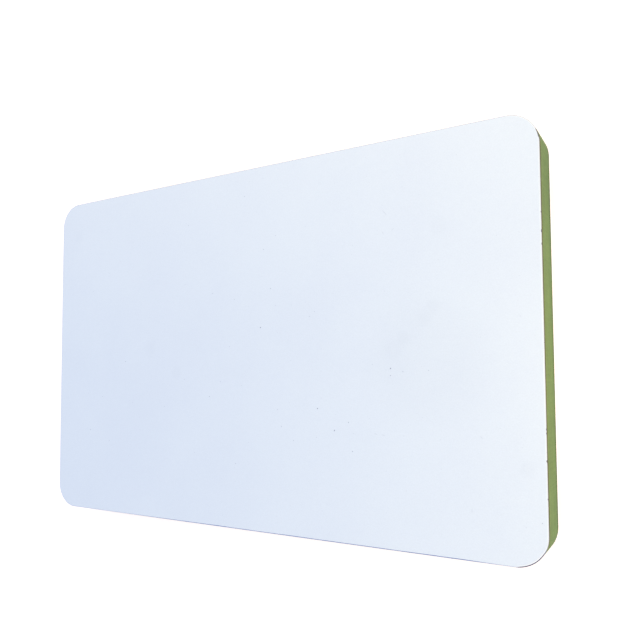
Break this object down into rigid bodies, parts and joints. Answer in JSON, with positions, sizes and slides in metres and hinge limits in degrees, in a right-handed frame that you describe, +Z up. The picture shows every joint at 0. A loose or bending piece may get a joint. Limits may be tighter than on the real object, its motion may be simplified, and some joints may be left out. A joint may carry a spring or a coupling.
{
  "type": "melamine faced fibreboard",
  "caption": "Flat rounded-corner panel of green fibreboard with white melamine film on both faces and raw sawn edges.",
  "frame": {"origin": "on the underside, below the middle of the panel lying flat", "axes": "+X along the length, +Y along the width, +Z up out of the decor face"},
  "size_m": [0.25, 0.16, 0.018],
  "materials": {
    "green_fibreboard": "matte",
    "front_melamine": "satin",
    "back_melamine": "satin"
  },
  "bodies": {
    "root": {"fibreboard_core": "green_fibreboard", "front_melamine_film": "front_melamine", "back_melamine_film": "back_melamine"}
  },
  "joints": []
}
